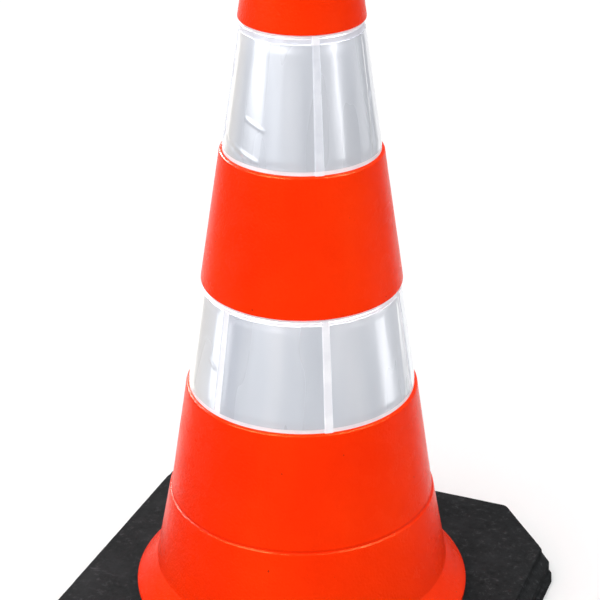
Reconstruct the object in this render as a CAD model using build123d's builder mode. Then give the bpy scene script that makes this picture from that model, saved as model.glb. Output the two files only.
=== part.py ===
from build123d import *
import os
from math import cos, pi, radians, sin, sqrt

# A two-piece traffic cone. An orange plastic shell with two recessed reflective bands plugs into
# the round socket of a black rubber ballast plate, and its flared skirt rests on the socket's collar.
# Millimetres, +Z up. The origin is on the ground, on the cone's axis.

# Overall
TOTAL_HEIGHT = 750
PLATE_HALF_SIDE = 196
PLATE_THICKNESS = 27

# The shell's outer surface above the ridge: its radius falls in a straight line
CONE_TAPER = 0.15
CONE_RADIUS_AT_RIM = 124.3
WALL = 3.2

# The raised collar round the socket, and the flared skirt that sits on it
COLLAR_RADIUS = 140.5
COLLAR_TOP = 33.5
COLLAR_FOOT_ROUNDING = 2
COLLAR_TOP_ROUNDING = 0.8
SEAT_GAP = 0.3
RIM_RADIUS = 143
RIM_TOP = 37
RIM_WIDTH = 4.8
CREASE_RADIUS = 125
CREASE_HEIGHT = 60
RIDGE_RADIUS = 112.2
RIDGE_HEIGHT = 127.5

# The spigot under the skirt and the socket that takes it
SPIGOT_RADIUS = 118
SPIGOT_BOTTOM = 5
SPIGOT_CLEARANCE = 0.6
SOCKET_RADIUS = SPIGOT_RADIUS + SPIGOT_CLEARANCE

# The open tip
TIP_BORE_RADIUS = 14
TIP_BORE_LENGTH = 22
TIP_LIP_RADIUS = 21
TIP_LIP_HEIGHT = 8

# Ribs inside the skirt that keep stacked cones from jamming
RIB_COUNT = 8
RIB_WIDTH = 3
RIB_DEPTH = 4

# The reflective bands: heights of their lower and upper edges, panels round each sleeve, angle of
# the seam from +X, and the sealed borders below and above the panels
RECESS_DEPTH = 3
BACKING_THICKNESS = 0.6
FILM_THICKNESS = 0.4
SEAM_THICKNESS = 0.7
WELD_WIDTH = 6.5
LOWER_BAND = {
    "name": "lower_band", "bottom": 228, "top": 320.5, "panels": 6, "seam": -55.1,
    "low_border": 3.6, "high_border": 4.9,
}
UPPER_BAND = {
    "name": "upper_band", "bottom": 433, "top": 537.5, "panels": 4, "seam": -56.1,
    "low_border": 3.5, "high_border": 7,
}
BANDS = [LOWER_BAND, UPPER_BAND]

# The plate's stepped edge, from the ground up: height, half side, distance of the cut corner's
# face from the axis. Each cut is skewed: it starts nearer the corner on one side than on the other.
EDGE_STEPS = [
    (0, PLATE_HALF_SIDE, 224.6),
    (8, PLATE_HALF_SIDE - 0.6, 224.3),
    (8, PLATE_HALF_SIDE - 3.8, 224.1),
    (16, PLATE_HALF_SIDE - 4.4, 224.8),
    (22.4, PLATE_HALF_SIDE - 11.8, 221.3),
    (PLATE_THICKNESS, PLATE_HALF_SIDE - 12.8, 220.7),
]
CUT_SKEW = 4
PLATE_CORNER_RADIUS = 7
PLATE_TOP_ROUNDING = 1.8
SOCKET_CHAMFER = 2
POCKET_DEPTH = 4
POCKET_HALF_SIDE = PLATE_HALF_SIDE - 20
POCKET_CUT_DISTANCE = 200
SOCKET_WALL = 18
POCKET_RIB_COUNT = 8
POCKET_RIB_WIDTH = 10


def cone_radius(height):
    """Outer radius of the straight shell at a height."""
    return CONE_RADIUS_AT_RIM - CONE_TAPER * (height - RIM_TOP)


def recess_floor(height):
    """Radius of the floor of a band's recess at a height."""
    return cone_radius(height) - RECESS_DEPTH


def radial_plane(angle):
    """Plane through the axis, turned by an angle from +X: its x is the radius, its y the height."""
    turn = radians(angle)
    return Plane(origin=(0, 0, 0), x_dir=(cos(turn), sin(turn), 0), z_dir=(sin(turn), -cos(turn), 0))


def outer_profile():
    """Corners of the shell's outside from the rim to the tip, each radius, height, rounding."""
    corners = [
        (RIM_RADIUS, COLLAR_TOP + SEAT_GAP, 0.6),
        (RIM_RADIUS, RIM_TOP, 1.6),
        (RIM_RADIUS - 8, RIM_TOP + 9.5, 30),
        (CREASE_RADIUS, CREASE_HEIGHT, 2.5),
        (RIDGE_RADIUS, RIDGE_HEIGHT, 0.8),
        (cone_radius(RIDGE_HEIGHT), RIDGE_HEIGHT + 0.8, 0.4),
    ]
    for band in BANDS:
        low, high = band["bottom"], band["top"]
        corners.append((cone_radius(low), low - 0.6, 2.2))
        corners.append((recess_floor(low), low, 0))
        corners.append((recess_floor(high), high, 0))
        corners.append((cone_radius(high), high + 0.8, 1.8))
    lip_bottom = TOTAL_HEIGHT - TIP_LIP_HEIGHT
    corners.append((cone_radius(lip_bottom - 2), lip_bottom - 2, 1))
    corners.append((TIP_LIP_RADIUS, lip_bottom, 1.5))
    corners.append((TIP_LIP_RADIUS, TOTAL_HEIGHT, 2.5))
    corners.append((TIP_BORE_RADIUS, TOTAL_HEIGHT, 1))
    return corners


def inner_profile():
    """Corners of the shell's inside from the tip's bore down and round under the flare."""
    bore_bottom = TOTAL_HEIGHT - TIP_BORE_LENGTH
    corners = [
        (TIP_BORE_RADIUS, bore_bottom, 0),
        (cone_radius(bore_bottom - 6) - WALL, bore_bottom - 6, 2),
    ]
    for band in reversed(BANDS):
        low, high = band["bottom"], band["top"]
        corners.append((cone_radius(high + 7) - WALL, high + 7, 4))
        corners.append((recess_floor(high + 2) - WALL, high + 2, 4))
        corners.append((recess_floor(low - 2) - WALL, low - 2, 4))
        corners.append((cone_radius(low - 7) - WALL, low - 7, 4))
    corners += [
        (cone_radius(RIDGE_HEIGHT) - WALL, RIDGE_HEIGHT, 2),
        (SPIGOT_RADIUS - WALL, CREASE_HEIGHT + 30, 10),
        (SPIGOT_RADIUS - WALL, SPIGOT_BOTTOM, 0.8),
        (SPIGOT_RADIUS, SPIGOT_BOTTOM, 1.2),
        (SPIGOT_RADIUS, CREASE_HEIGHT - 10, 2),
        (CREASE_RADIUS - 2.5, CREASE_HEIGHT - 6, 1),
        (RIM_RADIUS - 11.5, RIM_TOP + 6.5, 20),
        (RIM_RADIUS - RIM_WIDTH, COLLAR_TOP + SEAT_GAP, 0.6),
    ]
    return corners


def cone_strip(low, high, offset, thickness, start, arc):
    """A strip of sheet on a recess floor, from a start angle through an arc, in degrees."""
    with BuildPart() as strip:
        with BuildSketch(radial_plane(start)):
            with BuildLine():
                Polyline(
                    (recess_floor(low) + offset, low),
                    (recess_floor(low) + offset + thickness, low),
                    (recess_floor(high) + offset + thickness, high),
                    (recess_floor(high) + offset, high),
                    close=True,
                )
            make_face()
        revolve(axis=Axis.Z, revolution_arc=arc)
    return strip.part


def plate_outline(half_side, cut_distance, corner_radius):
    """Closed outline of a square whose corners are cut at nearly 45 degrees, with rounded corners."""
    leg = cut_distance * sqrt(2) - half_side
    corners = []
    for quarter in range(4):
        for x, y in ((half_side, leg - CUT_SKEW), (leg + CUT_SKEW, half_side)):
            corners.append(Vector(x, y).rotate(Axis.Z, quarter * 90))
    return FilletPolyline(*corners, radius=corner_radius, close=True)


def save(piece, name):
    """Name a finished piece and write it."""
    piece.label = name
    export_step(piece, f"parts/{name}.step")


os.makedirs("parts", exist_ok=True)

# Orange shell
shell_profile = outer_profile() + inner_profile()
with BuildPart() as cone_body:
    with BuildSketch(Plane.XZ):
        with BuildLine():
            FilletPolyline(
                *[(radius, height) for radius, height, rounding in shell_profile],
                radius=[rounding for radius, height, rounding in shell_profile],
                close=True,
            )
        make_face()
    revolve(axis=Axis.Z)
    rib_root = WALL / 2
    for index in range(RIB_COUNT):
        with BuildSketch(radial_plane(index * 360 / RIB_COUNT)):
            with BuildLine():
                Polyline(
                    (SPIGOT_RADIUS - rib_root, SPIGOT_BOTTOM + 10),
                    (SPIGOT_RADIUS - rib_root, CREASE_HEIGHT + 29),
                    (cone_radius(RIDGE_HEIGHT) - rib_root, RIDGE_HEIGHT - 1),
                    (cone_radius(RIDGE_HEIGHT) - WALL - RIB_DEPTH, RIDGE_HEIGHT - 8),
                    (SPIGOT_RADIUS - WALL - RIB_DEPTH, CREASE_HEIGHT + 29),
                    (SPIGOT_RADIUS - WALL - RIB_DEPTH, SPIGOT_BOTTOM + 14),
                    close=True,
                )
            make_face()
        extrude(amount=RIB_WIDTH / 2, both=True)
save(cone_body.part, "cone_body")

# Ballast plate
with BuildPart() as ballast_base:
    for (low, low_side, low_cut), (high, high_side, high_cut) in zip(EDGE_STEPS, EDGE_STEPS[1:]):
        if high > low:
            with BuildSketch(Plane.XY.offset(low)):
                with BuildLine():
                    plate_outline(low_side, low_cut, PLATE_CORNER_RADIUS)
                make_face()
            with BuildSketch(Plane.XY.offset(high)):
                with BuildLine():
                    plate_outline(high_side, high_cut, PLATE_CORNER_RADIUS)
                make_face()
            loft(ruled=True)
    top_face = ballast_base.faces().sort_by(Axis.Z)[-1]
    fillet(top_face.outer_wire().edges(), PLATE_TOP_ROUNDING)
    with BuildSketch(Plane.XY.offset(PLATE_THICKNESS)):
        Circle(COLLAR_RADIUS)
    extrude(amount=COLLAR_TOP - PLATE_THICKNESS)
    collar_edges = ballast_base.edges().filter_by(GeomType.CIRCLE)
    collar_edges = collar_edges.filter_by(lambda edge: abs(edge.radius - COLLAR_RADIUS) < 0.01)
    fillet(collar_edges.sort_by(Axis.Z)[0], COLLAR_FOOT_ROUNDING)
    fillet(ballast_base.edges().group_by(Axis.Z)[-1], COLLAR_TOP_ROUNDING)
    with Locations((0, 0, COLLAR_TOP)):
        Hole(SOCKET_RADIUS)
    mouth = ballast_base.edges().filter_by(GeomType.CIRCLE).group_by(Axis.Z)[-1].sort_by(SortBy.RADIUS)[0]
    chamfer(mouth, SOCKET_CHAMFER)
    with BuildSketch(Plane.XY):
        with BuildLine():
            plate_outline(POCKET_HALF_SIDE, POCKET_CUT_DISTANCE, PLATE_CORNER_RADIUS)
        make_face()
        Circle(SOCKET_RADIUS + SOCKET_WALL, mode=Mode.SUBTRACT)
        with PolarLocations(PLATE_HALF_SIDE, POCKET_RIB_COUNT, start_angle=180 / POCKET_RIB_COUNT):
            Rectangle(PLATE_HALF_SIDE, POCKET_RIB_WIDTH, mode=Mode.SUBTRACT)
    extrude(amount=POCKET_DEPTH, mode=Mode.SUBTRACT)
save(ballast_base.part, "ballast_base")

# Reflective bands: a white sleeve, silver film panels between its weld lines, and a seam strip
for band in BANDS:
    name, low, high = band["name"], band["bottom"], band["top"]
    save(cone_strip(low, high, 0, BACKING_THICKNESS, band["seam"], 360), f"{name}_backing")

    weld_angle = WELD_WIDTH / recess_floor((low + high) / 2) * 180 / pi
    pitch = 360 / band["panels"]
    for index in range(band["panels"]):
        start = band["seam"] + index * pitch + weld_angle / 2
        panel_low, panel_high = low + band["low_border"], high - band["high_border"]
        panel = cone_strip(
            panel_low, panel_high, BACKING_THICKNESS, FILM_THICKNESS, start, pitch - weld_angle
        )
        save(panel, f"{name}_panel_{index + 1}")

    seam_start = band["seam"] - weld_angle / 2
    seam = cone_strip(low, high, BACKING_THICKNESS, SEAM_THICKNESS, seam_start, weld_angle)
    save(seam, f"{name}_seam_strip")
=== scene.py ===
"""Looks of a two-piece traffic cone: orange shell, two reflective bands and a black rubber plate.

Everything is in metres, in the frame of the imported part: +Z up, origin on the ground under the tip.
"""

import math

import bpy
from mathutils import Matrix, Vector, noise


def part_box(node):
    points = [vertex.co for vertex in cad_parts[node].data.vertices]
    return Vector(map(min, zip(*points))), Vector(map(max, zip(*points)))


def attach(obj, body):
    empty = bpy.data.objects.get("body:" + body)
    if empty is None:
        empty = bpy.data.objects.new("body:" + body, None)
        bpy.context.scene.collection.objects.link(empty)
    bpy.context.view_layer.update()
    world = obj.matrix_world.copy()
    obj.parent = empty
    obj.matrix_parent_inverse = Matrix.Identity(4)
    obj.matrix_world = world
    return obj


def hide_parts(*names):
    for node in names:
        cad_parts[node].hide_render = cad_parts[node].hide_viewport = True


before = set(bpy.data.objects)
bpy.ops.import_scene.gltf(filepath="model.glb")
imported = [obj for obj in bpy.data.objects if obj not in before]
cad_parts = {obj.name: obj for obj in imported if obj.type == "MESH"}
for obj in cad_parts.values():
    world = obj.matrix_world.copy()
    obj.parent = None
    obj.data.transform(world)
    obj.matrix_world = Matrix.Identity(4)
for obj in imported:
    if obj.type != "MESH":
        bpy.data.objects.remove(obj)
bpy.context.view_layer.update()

MM = 0.001


# ---------------------------------------------------------------------------------------------
# Sizes, taken from the frame
# ---------------------------------------------------------------------------------------------

def widest(node):
    """Largest distance of a CAD node's points from the vertical axis."""
    return max(math.hypot(v.co.x, v.co.y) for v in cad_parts[node].data.vertices)


def span(node):
    """Lowest and highest height of a CAD node."""
    low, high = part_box(node)
    return low.z, high.z


SHELL_BOTTOM, SHELL_TOP = span("cone_body")
COLLAR_TOP = span("ballast_base")[1]
COLLAR_HEIGHT = 6.5 * MM
PLATE_TOP = COLLAR_TOP - COLLAR_HEIGHT
PLATE_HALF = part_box("ballast_base")[1].x
RIM_RADIUS = widest("cone_body")
LOW_SLEEVE = span("lower_band_backing")
HIGH_SLEEVE = span("upper_band_backing")
SLEEVE_RADIUS = widest("lower_band_backing")
TAPER = (SLEEVE_RADIUS - widest("upper_band_backing")) / (HIGH_SLEEVE[0] - LOW_SLEEVE[0])

RECESS = 2.4 * MM
BACKING = 0.6 * MM
FILM = 0.4 * MM
WALL = 3.2 * MM
SPIGOT_RADIUS = 118 * MM
SOCKET_RADIUS = 118.6 * MM
COLLAR_RADIUS = 140.5 * MM
SEAT_GAP = 0.3 * MM
RIM_TOP = COLLAR_TOP + 3.5 * MM
RIM_WIDTH = 4.8 * MM
CREASE = (125 * MM, COLLAR_TOP + 26.5 * MM)
RIDGE = (112.2 * MM, COLLAR_TOP + 94 * MM)
TIP_BORE_RADIUS = 14 * MM
TIP_BORE_DEPTH = 22 * MM
TIP_LIP_RADIUS = 21 * MM
TIP_LIP_HEIGHT = 8 * MM
WELD_WIDTH = 6.5 * MM
SEALED_BORDER = 2.2 * MM

STEPS_AROUND = 288


def sleeve_radius(height):
    """Radius of the white sleeves' outer face at a height."""
    return SLEEVE_RADIUS - TAPER * (height - LOW_SLEEVE[0])


def shell_radius(height):
    """Radius of the orange shell's straight taper at a height."""
    return sleeve_radius(height) + RECESS


# ---------------------------------------------------------------------------------------------
# Mesh helpers
# ---------------------------------------------------------------------------------------------

def rounded(corners, longest=6 * MM, closed=True):
    """Points of a path through corners (r, z, rounding), with arcs at the corners."""
    count = len(corners)
    points = []
    for index, (r, z, rounding) in enumerate(corners):
        here = Vector((r, z))
        inner = closed or 0 < index < count - 1
        if rounding and inner:
            before = Vector(corners[index - 1][:2]) - here
            after = Vector(corners[(index + 1) % count][:2]) - here
            half = before.angle(after) / 2
            reach = min(rounding / math.tan(half), 0.48 * before.length, 0.48 * after.length)
            radius = reach * math.tan(half)
            inward = (before.normalized() + after.normalized()).normalized()
            centre = here + inward * radius / math.sin(half)
            start = here + before.normalized() * reach - centre
            turn = math.pi - 2 * half
            sign = 1 if start.angle_signed(here + after.normalized() * reach - centre) < 0 else -1
            steps = max(2, math.ceil(turn / math.radians(9)))
            for step in range(steps + 1):
                angle = sign * turn * step / steps
                c, s = math.cos(angle), math.sin(angle)
                points.append(centre + Vector((c * start.x - s * start.y, s * start.x + c * start.y)))
        else:
            points.append(here)
    filled = []
    last = len(points) if closed else len(points) - 1
    for index in range(last):
        a, b = points[index], points[(index + 1) % len(points)]
        steps = max(1, math.ceil((b - a).length / longest))
        filled += [a.lerp(b, step / steps) for step in range(steps)]
    if not closed:
        filled.append(points[-1])
    return filled


def new_piece(name, vertices, faces):
    """An object with a mesh of these vertices and faces, put in the scene."""
    mesh = bpy.data.meshes.new(name)
    mesh.from_pydata(vertices, [], faces)
    mesh.validate()
    mesh.update()
    piece = bpy.data.objects.new(name, mesh)
    bpy.context.scene.collection.objects.link(piece)
    return piece


def grid_mesh(name, rows, close_rows=True, close_columns=True):
    """A mesh of quads through a grid of points, rows by columns."""
    height, width = len(rows), len(rows[0])
    vertices = [tuple(point) for row in rows for point in row]
    faces = []
    for i in range(height if close_rows else height - 1):
        for j in range(width if close_columns else width - 1):
            k, m = (i + 1) % height, (j + 1) % width
            faces.append((i * width + j, i * width + m, k * width + m, k * width + j))
    return new_piece(name, vertices, faces)


def smooth(piece, angle=40):
    """Smooth shading, kept crisp where faces meet at more than an angle."""
    bpy.context.view_layer.objects.active = piece
    piece.select_set(True)
    bpy.ops.object.shade_smooth_by_angle(angle=math.radians(angle))
    piece.select_set(False)
    return piece


def lathe(name, path, wobble=None):
    """A closed path of (r, z) turned about the axis; wobble(z, turn) gives a radial change."""
    rows = []
    for r, z in path:
        row = []
        for step in range(STEPS_AROUND):
            turn = 2 * math.pi * step / STEPS_AROUND
            radius = r + (wobble(z, turn) if wobble else 0)
            row.append((radius * math.cos(turn), radius * math.sin(turn), z))
        rows.append(row)
    return smooth(grid_mesh(name, rows))


def patch(name, low, high, start, sweep, surface, columns, lines):
    """A solid piece of sheet on the cone: surface(height, u, v) is its outer radius."""
    sink = 0.05 * MM
    front, back = [], []
    for i in range(lines + 1):
        v = i / lines
        height = low + (high - low) * v
        front_row, back_row = [], []
        for j in range(columns + 1):
            u = j / columns
            turn = start + sweep * u
            radius = surface(height, u, v)
            under = sleeve_radius(height) - sink
            front_row.append((radius * math.cos(turn), radius * math.sin(turn), height))
            back_row.append((under * math.cos(turn), under * math.sin(turn), height))
        front.append(front_row)
        back.append(back_row)
    width = columns + 1
    vertices = [p for row in front for p in row] + [p for row in back for p in row]
    offset = width * (lines + 1)
    faces = []
    for i in range(lines):
        for j in range(columns):
            a, b, c, d = i * width + j, i * width + j + 1, (i + 1) * width + j + 1, (i + 1) * width + j
            faces.append((a, b, c, d))
            faces.append((offset + d, offset + c, offset + b, offset + a))
    for j in range(columns):
        top = lines * width
        faces.append((offset + j, offset + j + 1, j + 1, j))
        faces.append((top + j, top + j + 1, offset + top + j + 1, offset + top + j))
    for i in range(lines):
        left, right = i * width, i * width + columns
        faces.append((left, left + width, offset + left + width, offset + left))
        faces.append((right + width, right, offset + right, offset + right + width))
    return smooth(new_piece(name, vertices, faces), 35)


# ---------------------------------------------------------------------------------------------
# Materials
# ---------------------------------------------------------------------------------------------

class Paint:
    """A node material with its Principled shader, and short ways to add the usual nodes."""

    def __init__(self, name):
        self.material = bpy.data.materials.new(name)
        self.material.use_nodes = True
        self.tree = self.material.node_tree
        self.shader = self.tree.nodes["Principled BSDF"]
        self.place = self.tree.nodes.new("ShaderNodeTexCoord").outputs["Object"]

    def node(self, kind, **settings):
        """A new node of a kind, with its settings."""
        made = self.tree.nodes.new(kind)
        for key, value in settings.items():
            setattr(made, key, value)
        return made

    def link(self, source, target):
        """Link a node's output to an input."""
        self.tree.links.new(source, target)

    def set(self, **values):
        """Set numbers and colours that are the same all over, straight on the shader."""
        for key, value in values.items():
            socket = key.replace("_", " ").title().replace("Ior", "IOR")
            self.shader.inputs[socket].default_value = value

    def stretched(self, x, y, z):
        """Object coordinates scaled along each axis."""
        mapping = self.node("ShaderNodeMapping")
        mapping.inputs["Scale"].default_value = (x, y, z)
        self.link(self.place, mapping.inputs["Vector"])
        return mapping.outputs["Vector"]

    def height(self):
        """Height above the ground in the object's own coordinates."""
        parts = self.node("ShaderNodeSeparateXYZ")
        self.link(self.place, parts.inputs["Vector"])
        return parts.outputs["Z"]

    def noise(self, scale, detail, roughness=0.5, where=None):
        """Noise over the object, or over other coordinates."""
        made = self.node("ShaderNodeTexNoise")
        made.inputs["Scale"].default_value = scale
        made.inputs["Detail"].default_value = detail
        made.inputs["Roughness"].default_value = roughness
        self.link(where or self.place, made.inputs["Vector"])
        return made.outputs["Fac"]

    def ramp(self, source, *stops):
        """A colour ramp; each stop is a position and a colour or a grey level."""
        made = self.node("ShaderNodeValToRGB")
        made.color_ramp.interpolation = "EASE"
        elements = made.color_ramp.elements
        while len(elements) < len(stops):
            elements.new(0.5)
        for element, (position, colour) in zip(elements, stops):
            element.position = position
            element.color = (*colour, 1) if isinstance(colour, tuple) else (colour, colour, colour, 1)
        self.link(source, made.inputs["Fac"])
        return made.outputs["Color"]

    def mix(self, factor, a, b):
        """Colour a at factor 0 and colour b at factor 1."""
        made = self.node("ShaderNodeMix", data_type="RGBA")
        for socket, value in ((made.inputs[0], factor), (made.inputs[6], a), (made.inputs[7], b)):
            if isinstance(value, bpy.types.NodeSocket):
                self.link(value, socket)
            else:
                socket.default_value = (*value, 1) if isinstance(value, tuple) else value
        return made.outputs[2]

    def spread(self, source, low, high, start=0.0, end=1.0):
        """A value mapped smoothly from start..end to low..high."""
        made = self.node("ShaderNodeMapRange", interpolation_type="SMOOTHSTEP")
        for key, value in (("From Min", start), ("From Max", end), ("To Min", low), ("To Max", high)):
            made.inputs[key].default_value = value
        self.link(source, made.inputs["Value"])
        return made.outputs["Result"]

    def between(self, low, high, soft, most):
        """A number that is most between two heights and fades to 0 below and above them."""
        height = self.height()
        both = self.node("ShaderNodeMath", operation="MULTIPLY")
        self.link(self.spread(height, 0, most, low - soft, low), both.inputs[0])
        self.link(self.spread(height, 1, 0, high, high + soft), both.inputs[1])
        return both.outputs[0]

    def bump(self, source, strength, distance, before=None):
        """A normal roughened by a height value, on top of another bump."""
        made = self.node("ShaderNodeBump")
        made.inputs["Strength"].default_value = strength
        made.inputs["Distance"].default_value = distance
        self.link(source, made.inputs["Height"])
        if before is not None:
            self.link(before, made.inputs["Normal"])
        return made.outputs["Normal"]

    def finish(self, colour, roughness=None, normal=None):
        """Link what varies over the surface to the shader and give the material."""
        self.link(colour, self.shader.inputs["Base Color"])
        if roughness is not None:
            self.link(roughness, self.shader.inputs["Roughness"])
        if normal is not None:
            self.link(normal, self.shader.inputs["Normal"])
        return self.material


def orange_plastic():
    """Moulded polyethylene: faint streaks, a few dark specks, orange peel, and painted shade as a darker
    band just above the ridge.
    """
    paint = Paint("orange_plastic")
    tone = paint.noise(7, 4)
    colour = paint.ramp(tone, (0.3, (0.93, 0.026, 0.0015)), (0.7, (1.0, 0.036, 0.002)))
    streaks = paint.noise(30, 2, where=paint.stretched(1, 1, 0.12))
    colour = paint.mix(paint.spread(streaks, 0, 0.25, 0.5, 0.8), colour, (1.0, 0.045, 0.003))
    specks = paint.ramp(paint.noise(330, 0), (0.895, 0.0), (0.91, 1.0))
    colour = paint.mix(specks, colour, (0.45, 0.02, 0.004))
    # Painted shade: a darker red band just above the ridge's step, where its inner corner lies in shade.
    ridge_shade = paint.between(RIDGE[1] + 0.8 * MM, RIDGE[1] + 2.4 * MM, 1.2 * MM, 0.4)
    colour = paint.mix(ridge_shade, colour, (0.62, 0.008, 0.001))
    roughness = paint.spread(paint.noise(40, 4), 0.22, 0.3, 0.3, 0.7)
    peel = paint.bump(paint.noise(520, 2), 0.9, 0.0005)
    grain = paint.bump(paint.noise(2600, 1), 0.2, 0.00005, before=peel)
    paint.set(ior=1.075, specular_ior_level=1.0, specular_tint=(1.0, 0.42, 0.12, 1))
    return paint.finish(colour, roughness, grain)


def vinyl(paint, colour):
    """The rest of a vinyl material, from its colour."""
    roughness = paint.spread(paint.noise(90, 3), 0.28, 0.42, 0.3, 0.7)
    normal = paint.bump(paint.noise(500, 2), 0.15, 0.0001)
    paint.set(ior=1.5, specular_ior_level=0.3)
    return paint.finish(colour, roughness, normal)


def white_vinyl(name, shadow=None):
    """White vinyl; shadow is a range of height in which it is greyer, under the film's sealed edge."""
    paint = Paint(name)
    colour = paint.ramp(paint.noise(60, 3), (0.35, (0.80, 0.80, 0.85)), (0.65, (0.87, 0.87, 0.91)))
    if shadow:
        colour = paint.mix(paint.between(*shadow, 0.8 * MM, 0.9), colour, (0.62, 0.64, 0.72))
    return vinyl(paint, colour)


def seam_tape():
    """Clear tape over the film: a little lighter than the film, white past the film's edges."""
    paint = Paint("seam_tape")
    colour = paint.ramp(paint.noise(60, 3), (0.35, (0.62, 0.64, 0.71)), (0.65, (0.69, 0.71, 0.77)))
    film_low, film_high = span("upper_band_panel_1")
    ramp = 0.3 * MM
    height = paint.height()
    white = (0.87, 0.87, 0.91)
    colour = paint.mix(paint.spread(height, 1, 0, film_low - ramp, film_low + ramp), colour, white)
    colour = paint.mix(paint.spread(height, 0, 1, film_high - ramp, film_high + ramp), colour, white)
    return vinyl(paint, colour)


def reflective_film():
    """Silver film under a clear, glossy face, with upright streaks; painted shade makes it darker on the
    upper band.
    """
    paint = Paint("reflective_film")
    streaks = paint.noise(24, 2, where=paint.stretched(1, 1, 0.05))
    colour = paint.ramp(
        streaks,
        (0.32, (0.53, 0.56, 0.63)),
        (0.5, (0.59, 0.62, 0.68)),
        (0.68, (0.66, 0.68, 0.73)),
    )
    # Painted shade: the colour darkens between these heights, so the same film is darker on the upper
    # band than on the lower one.
    dark_from, dark_to = 0.32, 0.46
    upper = paint.spread(paint.height(), 0, 0.5, dark_from, dark_to)
    colour = paint.mix(upper, colour, (0.40, 0.42, 0.47))
    gloss = paint.noise(40, 1, where=paint.stretched(1, 1, 0.05))
    roughness = paint.spread(gloss, 0.25, 0.30, 0.3, 0.7)
    ripple = paint.bump(paint.noise(30, 1, where=paint.stretched(1, 1, 0.12)), 0.2, 0.0005)
    normal = paint.bump(paint.noise(1500, 1), 0.08, 0.00004, before=ripple)
    paint.set(metallic=0.12, ior=1.5, coat_weight=1.0, coat_roughness=0.18)
    return paint.finish(colour, roughness, normal)


def ballast_rubber():
    """Recycled rubber: grain in black and grey, cloudy patches, pale streaks spread at random."""
    paint = Paint("ballast_rubber")
    grain = paint.noise(170, 6, 0.75)
    colour = paint.ramp(
        grain,
        (0.30, (0.003, 0.0035, 0.004)),
        (0.52, (0.012, 0.013, 0.014)),
        (0.72, (0.046, 0.047, 0.050)),
    )
    cloud = paint.noise(26, 4, 0.6)
    colour = paint.mix(paint.spread(cloud, 0, 0.5, 0.45, 0.75), colour, (0.032, 0.034, 0.037))
    # Pale streaks, spread at random over the plate.
    pale_streak_noise = paint.noise(60, 3, 0.6, where=paint.stretched(0.35, 1, 1))
    pale_streaks = paint.ramp(pale_streak_noise, (0.66, 0.0), (0.78, 0.6))
    colour = paint.mix(pale_streaks, colour, (0.11, 0.11, 0.12))
    roughness = paint.spread(grain, 0.7, 0.95, 0.3, 0.7)
    rough = paint.bump(grain, 0.7, 0.0009)
    normal = paint.bump(paint.noise(900, 3), 0.4, 0.0003, before=rough)
    paint.set(ior=1.06)
    return paint.finish(colour, roughness, normal)


def studio_floor():
    """Plain pale floor, nearly even."""
    paint = Paint("studio_floor")
    colour = paint.ramp(paint.noise(3, 2), (0.3, 0.875), (0.7, 0.885))
    paint.set(roughness=0.9, specular_ior_level=0.0)
    return paint.finish(colour)


ORANGE = orange_plastic()
VINYL = white_vinyl("white_vinyl")
UPPER_FILM_TOP = span("upper_band_panel_1")[1]
UPPER_VINYL = white_vinyl("upper_white_vinyl", (UPPER_FILM_TOP, HIGH_SLEEVE[1] - SEALED_BORDER))
SEAM_TAPE = seam_tape()
REFLECTIVE = reflective_film()
RUBBER = ballast_rubber()


def fit(piece, body, material, node):
    """Give a piece its material and its body, and hide the CAD node that it stands for."""
    piece.data.materials.append(material)
    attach(piece, body)
    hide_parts(node)


# ---------------------------------------------------------------------------------------------
# Orange shell
# ---------------------------------------------------------------------------------------------

def shell_corners():
    """The shell's section: up the outside, over the tip, down the inside and under the flare."""
    seat = COLLAR_TOP + SEAT_GAP
    outside = [
        (RIM_RADIUS, seat, 0.6 * MM),
        (RIM_RADIUS, RIM_TOP, 1.6 * MM),
        (RIM_RADIUS - 8 * MM, RIM_TOP + 9.5 * MM, 30 * MM),
        (CREASE[0], CREASE[1], 2.5 * MM),
        (RIDGE[0], RIDGE[1], 2.0 * MM),
        (shell_radius(RIDGE[1]), RIDGE[1] + 0.8 * MM, 0.3 * MM),
    ]
    for low, high in (LOW_SLEEVE, HIGH_SLEEVE):
        floor_low, floor_high = sleeve_radius(low) - BACKING, sleeve_radius(high) - BACKING
        outside += [
            (shell_radius(low), low - 0.6 * MM, 3.5 * MM),
            (floor_low, low, 0.15 * MM),
            (floor_high, high, 0.15 * MM),
            (shell_radius(high), high + 0.8 * MM, 1.8 * MM),
        ]
    lip_bottom = SHELL_TOP - TIP_LIP_HEIGHT
    outside += [
        (shell_radius(lip_bottom - 2 * MM), lip_bottom - 2 * MM, 1 * MM),
        (TIP_LIP_RADIUS, lip_bottom, 1.5 * MM),
        (TIP_LIP_RADIUS, SHELL_TOP, 2.5 * MM),
        (TIP_BORE_RADIUS, SHELL_TOP, 1 * MM),
    ]
    bore_bottom = SHELL_TOP - TIP_BORE_DEPTH
    inside = [
        (TIP_BORE_RADIUS, bore_bottom, 0.3 * MM),
        (shell_radius(bore_bottom) - WALL, bore_bottom - 6 * MM, 2 * MM),
    ]
    for low, high in (HIGH_SLEEVE, LOW_SLEEVE):
        for edge, beyond, deep in ((high, 7, False), (high, 2, True), (low, -2, True), (low, -7, False)):
            height = edge + beyond * MM
            radius = shell_radius(height) - WALL - (RECESS + BACKING if deep else 0)
            inside.append((radius, height, 4 * MM))
    inside += [
        (shell_radius(RIDGE[1]) - WALL, RIDGE[1], 2 * MM),
        (SPIGOT_RADIUS - WALL, CREASE[1] + 30 * MM, 10 * MM),
        (SPIGOT_RADIUS - WALL, SHELL_BOTTOM, 0.8 * MM),
        (SPIGOT_RADIUS, SHELL_BOTTOM, 1.2 * MM),
        (SPIGOT_RADIUS, CREASE[1] - 10 * MM, 2 * MM),
        (CREASE[0] - 2.5 * MM, CREASE[1] - 6 * MM, 1 * MM),
        (RIM_RADIUS - 11.5 * MM, RIM_TOP + 6.5 * MM, 20 * MM),
        (RIM_RADIUS - RIM_WIDTH, seat, 0.6 * MM),
    ]
    return outside + inside


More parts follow.
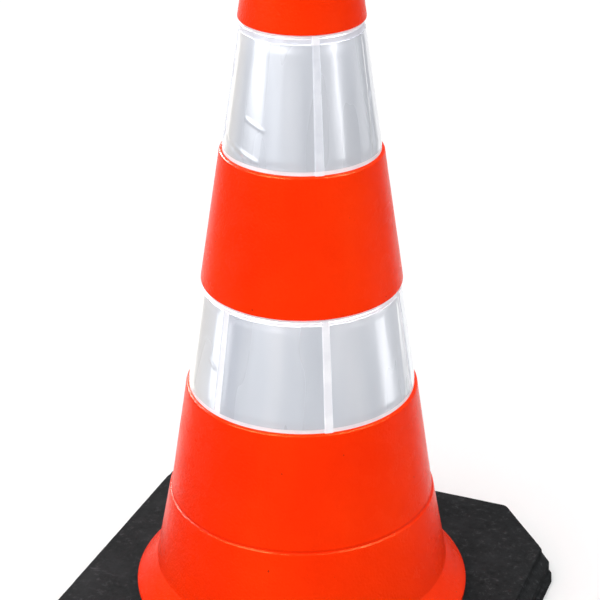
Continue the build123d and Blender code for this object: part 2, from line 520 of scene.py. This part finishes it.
def shell_wobble(z, turn):
    """Slight unevenness of the moulded wall, fading out towards the rim's seat and the spigot."""
    depth = 0.16 * MM
    place = Vector((math.cos(turn), math.sin(turn), z * 9))
    fade = min(1, max(0, (z - RIM_TOP) / (20 * MM)))
    return fade * depth * noise.noise(place * 1.6)


shell = lathe("orange_shell", rounded(shell_corners()), wobble=shell_wobble)
fit(shell, "cone", ORANGE, "cone_body")


# ---------------------------------------------------------------------------------------------
# Reflective bands
# ---------------------------------------------------------------------------------------------

def sleeve(name, low, high, node, material):
    """White sleeve with a fine groove under its upper edge, where the film's edge is sealed in."""
    groove = high - SEALED_BORDER
    corners = [
        (sleeve_radius(low) - BACKING, low, 0.1 * MM),
        (sleeve_radius(low) - 0.1 * MM, low, 0.2 * MM),
        (sleeve_radius(groove), groove - 0.5 * MM, 0.1 * MM),
        (sleeve_radius(groove) - 0.45 * MM, groove, 0.1 * MM),
        (sleeve_radius(groove), groove + 0.5 * MM, 0.1 * MM),
        (sleeve_radius(high), high, 0.1 * MM),
        (sleeve_radius(high) - BACKING, high, 0.1 * MM),
    ]
    fit(lathe(name, rounded(corners, 4 * MM)), "cone", material, node)


def fold(u, v, start, end, half_width):
    """How near a point of a panel is to a straight fold, from 0 to 1 on the fold."""
    panel_size = Vector((100, 90))
    first, last = Vector(start) * panel_size, Vector(end) * panel_size
    along = last - first
    offset = Vector((u, v)) * panel_size - first
    nearest = min(1, max(0, offset.dot(along) / along.length_squared))
    return max(0, 1 - (offset - along * nearest).length / half_width)


def film_surface(seed, folds=()):
    """Outer radius of a film panel: held down at its edges, puffed, rippled and folded between."""
    def surface(height, u, v):
        edge = min(1, 9 * min(u, 1 - u)) * min(1, 12 * min(v, 1 - v))
        hold = edge * edge * (3 - 2 * edge)
        wave = noise.noise(Vector((u * 5.5, v * 0.8, seed)))
        fine = noise.noise(Vector((u * 14, v * 1.5, seed + 7)))
        lift = hold * (0.35 + 0.2 * wave + 0.05 * fine)
        for start, end, half_width, rise in folds:
            lift += min(1, 2 * hold) * rise * fold(u, v, start, end, half_width)
        return sleeve_radius(height) + FILM + lift * MM
    return surface


def band(prefix, low, high, panels, seed, vinyl_material, tape, folds):
    """A sleeve, its film panels and its seam strip."""
    sleeve(prefix + "_sleeve", low, high, prefix + "_backing", vinyl_material)
    weld = WELD_WIDTH / sleeve_radius((low + high) / 2)
    seam_low, seam_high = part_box(prefix + "_seam_strip")
    seam_turn = math.atan2(seam_low.y + seam_high.y, seam_low.x + seam_high.x)
    panel_low, panel_high = span(prefix + "_panel_1")
    pitch = 2 * math.pi / panels
    for index in range(panels):
        node = f"{prefix}_panel_{index + 1}"
        film = patch(
            f"{prefix}_film_{index + 1}", panel_low, panel_high,
            seam_turn + index * pitch + weld / 2, pitch - weld,
            film_surface(seed + 3.1 * index, folds.get(index + 1, ())), columns=120, lines=84,
        )
        fit(film, "cone", REFLECTIVE, node)

    def strip_surface(height, u, v):
        side = min(1, 6 * min(u, 1 - u))
        return sleeve_radius(height) + (0.35 + 0.35 * side) * MM

    strip_start = seam_turn - weld / 2
    strip = patch(prefix + "_seam", low, high, strip_start, weld, strip_surface, columns=12, lines=60)
    fit(strip, "cone", tape, prefix + "_seam_strip")


# Folds in the film, by panel: start and end as fractions across and up the panel, then half width
# and rise in mm
LOWER_FOLDS = {
    1: [((0.86, 0.02), (0.92, 0.98), 5, 0.4)],
    3: [((0.3, 0.6), (0.42, 0.5), 3, -0.4)],
    5: [((0.86, 0.47), (0.97, 0.40), 2.5, 0.45)],
}
UPPER_FOLDS = {
    1: [((0.63, 1.0), (0.61, 0.5), 4, -0.5), ((0.61, 0.5), (0.56, 0.0), 4, -0.5)],
    3: [((0.2, 0.3), (0.36, 0.22), 3, 0.4)],
    4: [
        ((0.33, 0.36), (0.54, 0.30), 2, 0.28),
        ((0.02, 0.13), (0.30, 0.05), 3, -0.45),
        ((0.22, 0.10), (0.50, 0.03), 3, 0.35),
    ],
}

band("lower_band", *LOW_SLEEVE, 6, 1.0, VINYL, VINYL, LOWER_FOLDS)
band("upper_band", *HIGH_SLEEVE, 4, 40.0, UPPER_VINYL, SEAM_TAPE, UPPER_FOLDS)


# ---------------------------------------------------------------------------------------------
# Rubber ballast plate
# ---------------------------------------------------------------------------------------------

# The plate's stepped edge, from the ground up, in mm: height, inset from the widest outline, and
# distance of the cut corners from the axis
EDGE = [
    (0, 0, 224.6),
    (8, 0.6, 224.3),
    (8.5, 3.8, 224.1),
    (16, 4.4, 224.8),
    (22.4, 11.8, 221.3),
    (27, 12.8, 220.7),
]
CUT_SKEW = 4 * MM
CORNER_RADIUS = 7 * MM
CORNER_STEPS = 8
SIDE_STEPS = 96
CUT_STEPS = 34

# Depth of the grain: on the edge as a part of the distance from the axis, on the top as a length
EDGE_GRAIN = 0.0016
TOP_GRAIN = 0.22 * MM

POCKET_DEPTH = 4 * MM
POCKET_SLOPE = 2 * MM
UNDERSIDE_RIM = 20 * MM
UNDERSIDE_RING = 18 * MM
UNDERSIDE_HALF_RIB = 5 * MM


def plate_ring(half, cut, z):
    """Points round a square with cut, rounded corners; the count is the same for every size."""
    leg = cut * math.sqrt(2) - half
    corners = []
    for quarter in range(4):
        c, s = math.cos(quarter * math.pi / 2), math.sin(quarter * math.pi / 2)
        for x, y in ((half, -leg - CUT_SKEW), (half, leg - CUT_SKEW)):
            corners.append(Vector((c * x - s * y, s * x + c * y)))
    points = []
    for index, here in enumerate(corners):
        before = (corners[index - 1] - here).normalized()
        after = corners[(index + 1) % 8] - here
        ahead = after.normalized()
        half_turn = (math.pi - before.angle(ahead)) / 2
        reach = CORNER_RADIUS * math.tan(half_turn)
        centre = here + (before + ahead).normalized() * CORNER_RADIUS / math.cos(half_turn)
        start = here + before * reach - centre
        for step in range(CORNER_STEPS):
            angle = 2 * half_turn * step / CORNER_STEPS
            c, s = math.cos(angle), math.sin(angle)
            points.append(centre + Vector((c * start.x - s * start.y, s * start.x + c * start.y)))
        steps = CUT_STEPS if index % 2 else SIDE_STEPS
        first, last = here + ahead * reach, here + after - ahead * reach
        points += [first.lerp(last, step / steps) for step in range(steps)]
    return [(p.x, p.y, z) for p in points]


def plate_section():
    """Height, inset and cut distance of each ring of the plate's edge in mm, from the ground up."""
    spacing = 1.2
    rings = []
    for (z0, in0, cut0), (z1, in1, cut1) in zip(EDGE, EDGE[1:]):
        steps = max(1, round((abs(z1 - z0) + abs(in1 - in0)) / spacing))
        for step in range(steps):
            t = step / steps
            rings.append((z0 + (z1 - z0) * t, in0 + (in1 - in0) * t, cut0 + (cut1 - cut0) * t))
    return rings


def crumble(point, depth):
    """How far the grain of recycled rubber pushes a point out or in, for a depth of grain."""
    p = Vector(point)
    coarse = noise.noise(p * 60)
    fine = noise.noise(p * 260 + Vector((3, 1, 2)))
    return depth * (0.55 * coarse + 0.45 * fine)


def grained(point):
    """A point of the plate's edge, moved out or in by the grain."""
    swell = 1 + crumble(point, EDGE_GRAIN)
    return (point[0] * swell, point[1] * swell, point[2])


def ballast_plate():
    """The plate as one grid of rings: up the edge, over the top and collar, down the socket, below."""
    rows = []
    for z, inset, cut in plate_section():
        ring = plate_ring(PLATE_HALF - inset * MM, cut * MM, z * MM)
        rows.append([grained(point) for point in ring])
    top_ring = plate_ring(PLATE_HALF - EDGE[-1][1] * MM, EDGE[-1][2] * MM, PLATE_TOP)
    rounding = 1.8
    for inset, drop in ((0, rounding), (0.24, 0.9), (0.9, 0.24), (rounding, 0)):
        shrink = 1 - inset * MM / PLATE_HALF
        rows.append([(x * shrink, y * shrink, PLATE_TOP - drop * MM) for x, y, _ in top_ring])
    shrink = 1 - rounding * MM / PLATE_HALF
    rings = 44
    for ring in range(1, rings + 1):
        t = ring / rings
        row = []
        for x, y, _ in top_ring:
            x, y = x * shrink, y * shrink
            reach = math.hypot(x, y)
            inner = COLLAR_RADIUS + 2 * MM
            to = (reach + (inner - reach) * t) / reach
            px, py = x * to, y * to
            lift = crumble((px, py, 0), TOP_GRAIN) if ring < rings else 0
            row.append((px, py, PLATE_TOP - 0.12 * MM + lift))
        rows.append(row)

    def socket_row(radius, z):
        return [(radius * x / math.hypot(x, y), radius * y / math.hypot(x, y), z) for x, y, _ in top_ring]

    collar = [
        (COLLAR_RADIUS + 2 * MM, PLATE_TOP, 0),
        (COLLAR_RADIUS, PLATE_TOP, 2 * MM),
        (COLLAR_RADIUS, COLLAR_TOP, 0.8 * MM),
        (SOCKET_RADIUS + 2 * MM, COLLAR_TOP, 0),
        (SOCKET_RADIUS, COLLAR_TOP - 2 * MM, 0),
        (SOCKET_RADIUS, 0, 0),
    ]
    rows += [socket_row(r, z) for r, z in rounded(collar, 5 * MM, closed=False)[1:]]

    bottom_ring = plate_ring(PLATE_HALF, EDGE[0][2] * MM, 0)
    rings = 40
    for ring in range(1, rings):
        t = ring / rings
        row = []
        for x, y, _ in bottom_ring:
            reach = math.hypot(x, y)
            to = (SOCKET_RADIUS + (reach - SOCKET_RADIUS) * t) / reach
            row.append((x * to, y * to, pocket_depth(x * to, y * to)))
        rows.append(row)
    return smooth(grid_mesh("rubber_plate", rows), 38)


def pocket_depth(x, y):
    """Depth of the eight shallow pockets in the underside, between the rim, ring and ribs."""
    reach = math.hypot(x, y)
    inner_half = PLATE_HALF - UNDERSIDE_RIM
    inner_cut = 200 * MM
    side = max(abs(x), abs(y), (abs(x) + abs(y)) / math.sqrt(2) * inner_half / inner_cut)
    from_rim = inner_half - side
    from_ring = reach - (SOCKET_RADIUS + UNDERSIDE_RING)
    turn = math.atan2(y, x) - math.radians(22.5)
    nearest = turn - round(turn / math.radians(45)) * math.radians(45)
    from_rib = abs(math.sin(nearest)) * reach - UNDERSIDE_HALF_RIB
    clear = min(from_rim, from_ring, from_rib)
    return POCKET_DEPTH * min(1, max(0, clear / POCKET_SLOPE))


plate = ballast_plate()
fit(plate, "base", RUBBER, "ballast_base")


# ---------------------------------------------------------------------------------------------
# Floor, backdrop, light and camera
# ---------------------------------------------------------------------------------------------

FLOOR_HALF = 8.0
WALL_RADIUS = 7.9
WALL_HEIGHT = 9
WALL_STEPS = 96

# Brightness of the surroundings below the horizon and well above it, and where the rise ends
GROUND_GLOW = 0.12
SKY_GLOW = 0.6
SKY_RISE = 0.14

VIEW_TURN = math.radians(21.8)
VIEW_PITCH = math.radians(90 - 26.07)
VIEW_DISTANCE = 1.3335
VIEW_HEIGHT = 0.952
VIEW_SHIFT = 1.5 * MM
LENS_MM = 109.72

# Lights that only make highlights: turn from the camera's side in degrees, distance, height, the
# height on the axis that the panel faces, the panel's width and height, brightness and colour
WHITE = (1, 1, 1)
WARM = (1, 0.86, 0.66)
PANEL_LIGHTS = {
    "left_box": (-52, 1.3, 1.55, 0.25, 1.1, 0.45, 680, WHITE),
    "right_box": (61, 1.3, 1.55, 0.25, 0.9, 0.45, 600, WHITE),
    "left_strip": (-74, 1.0, 0.52, 0.52, 0.5, 0.32, 6, WHITE),
    "left_soft": (-42, 1.0, 0.46, 0.46, 0.42, 0.5, 0.7, WHITE),
    "low_left_strip": (-91, 0.7, 0.09, 0.2, 0.14, 0.18, 4, WHITE),
    "right_strip": (57, 1.0, 0.50, 0.50, 0.10, 0.36, 7, WHITE),
    "right_soft": (100, 1.0, 0.36, 0.45, 0.36, 0.26, 1.0, WHITE),
    "low_right_strip": (90, 0.7, 0.1, 0.2, 0.2, 0.18, 3.5, WHITE),
    "left_wall": (-128, 1.3, 0.1, 0.3, 1.1, 1.2, 0.7, WARM),
    "right_wall": (125, 1.3, 0.1, 0.3, 1.1, 1.2, 0.45, WHITE),
    "back_wall": (180, 1.2, -0.3, 0, 2.2, 1.6, 1.0, WHITE),
    "back_left_box": (-140, 1.7, 1.0, 0, 0.9, 0.6, 110, WHITE),
    "overhead_back": (180, 0.8, 1.5, 0.3, 1.5, 0.7, 5, WHITE),
}


def floor():
    """A plain pale floor that doesn't show in the object's shine."""
    piece = grid_mesh(
        "floor",
        [
            [(-FLOOR_HALF, -FLOOR_HALF, 0), (FLOOR_HALF, -FLOOR_HALF, 0)],
            [(-FLOOR_HALF, FLOOR_HALF, 0), (FLOOR_HALF, FLOOR_HALF, 0)],
        ],
        close_rows=False, close_columns=False,
    )
    piece.data.materials.append(studio_floor())
    piece.visible_glossy = False


def backdrop():
    """A plain white wall round the floor, only there to be seen: it casts no light and no shadow."""
    turns = [2 * math.pi * step / WALL_STEPS for step in range(WALL_STEPS)]
    ring = [(WALL_RADIUS * math.cos(turn), WALL_RADIUS * math.sin(turn)) for turn in turns]
    rows = [[(x, y, z) for x, y in ring] for z in (0, WALL_HEIGHT)]
    piece = grid_mesh("backdrop", rows, close_rows=False)
    paint = Paint("studio_backdrop")
    paint.set(base_color=(0, 0, 0, 1), roughness=1.0, specular_ior_level=0.0)
    paint.set(emission_color=(1, 1, 1, 1), emission_strength=1.0)
    piece.data.materials.append(paint.material)
    piece.visible_diffuse = False
    piece.visible_glossy = False
    piece.visible_transmission = False
    piece.visible_shadow = False


def around_view(turn, distance, height):
    """A point at a turn to the right of the camera's side of the cone, in degrees."""
    angle = VIEW_TURN + math.radians(turn)
    return Vector((distance * math.sin(angle), -distance * math.cos(angle), height))


def aim(thing, place, target):
    """Put a light at a place and turn it to a target."""
    thing.location = place
    thing.rotation_euler = (Vector(target) - Vector(place)).to_track_quat("-Z", "Y").to_euler()


def panel_light(name, turn, distance, height, faces, width, tall, brightness, colour):
    """A rectangular light that only makes highlights; its brightness is that of its face."""
    data = bpy.data.lights.new(name, "AREA")
    data.shape = "RECTANGLE"
    data.size, data.size_y = width, tall
    data.energy = brightness * math.pi * width * tall
    data.color = colour
    lamp = bpy.data.objects.new(name, data)
    aim(lamp, around_view(turn, distance, height), (0, 0, faces))
    lamp.visible_camera = False
    lamp.visible_diffuse = False
    bpy.context.scene.collection.objects.link(lamp)


def soft_sun(name, turn, climb, strength, softness, glossy=True):
    """A very soft, even light from a direction, so that the floor is evenly bright."""
    data = bpy.data.lights.new(name, "SUN")
    data.energy = strength
    data.angle = math.radians(softness)
    lamp = bpy.data.objects.new(name, data)
    away = math.cos(math.radians(climb))
    aim(lamp, around_view(turn, away, math.sin(math.radians(climb))), (0, 0, 0))
    lamp.visible_glossy = glossy
    bpy.context.scene.collection.objects.link(lamp)


def studio():
    """The surroundings, two soft suns and the highlight panels."""
    world = bpy.data.worlds.new("studio")
    world.use_nodes = True
    nodes, links = world.node_tree.nodes, world.node_tree.links
    direction = nodes.new("ShaderNodeTexCoord").outputs["Generated"]
    parts = nodes.new("ShaderNodeSeparateXYZ")
    links.new(direction, parts.inputs["Vector"])
    sky = nodes.new("ShaderNodeMapRange")
    sky.inputs["From Min"].default_value = 0.0
    sky.inputs["From Max"].default_value = SKY_RISE
    sky.inputs["To Min"].default_value = GROUND_GLOW
    sky.inputs["To Max"].default_value = SKY_GLOW
    links.new(parts.outputs["Z"], sky.inputs["Value"])
    nodes["Background"].inputs["Color"].default_value = (1, 1, 1, 1)
    links.new(sky.outputs["Result"], nodes["Background"].inputs["Strength"])
    bpy.context.scene.world = world
    bpy.context.scene.view_settings.view_transform = "Standard"
    soft_sun("sun", -45, 72, 1.95, 50)
    soft_sun("fill", -15, 15, 0.4, 60, glossy=False)
    for name, settings in PANEL_LIGHTS.items():
        panel_light(name, *settings)


def camera():
    """The camera, a little left of the middle and looking down at the cone."""
    data = bpy.data.cameras.new("camera")
    data.sensor_width = 36
    data.lens = LENS_MM
    viewer = bpy.data.objects.new("camera", data)
    viewer.location = around_view(0, VIEW_DISTANCE, VIEW_HEIGHT) + around_view(-90, VIEW_SHIFT, 0)
    viewer.rotation_euler = (VIEW_PITCH, 0, VIEW_TURN)
    bpy.context.scene.collection.objects.link(viewer)
    bpy.context.scene.camera = viewer


floor()
backdrop()
studio()
camera()
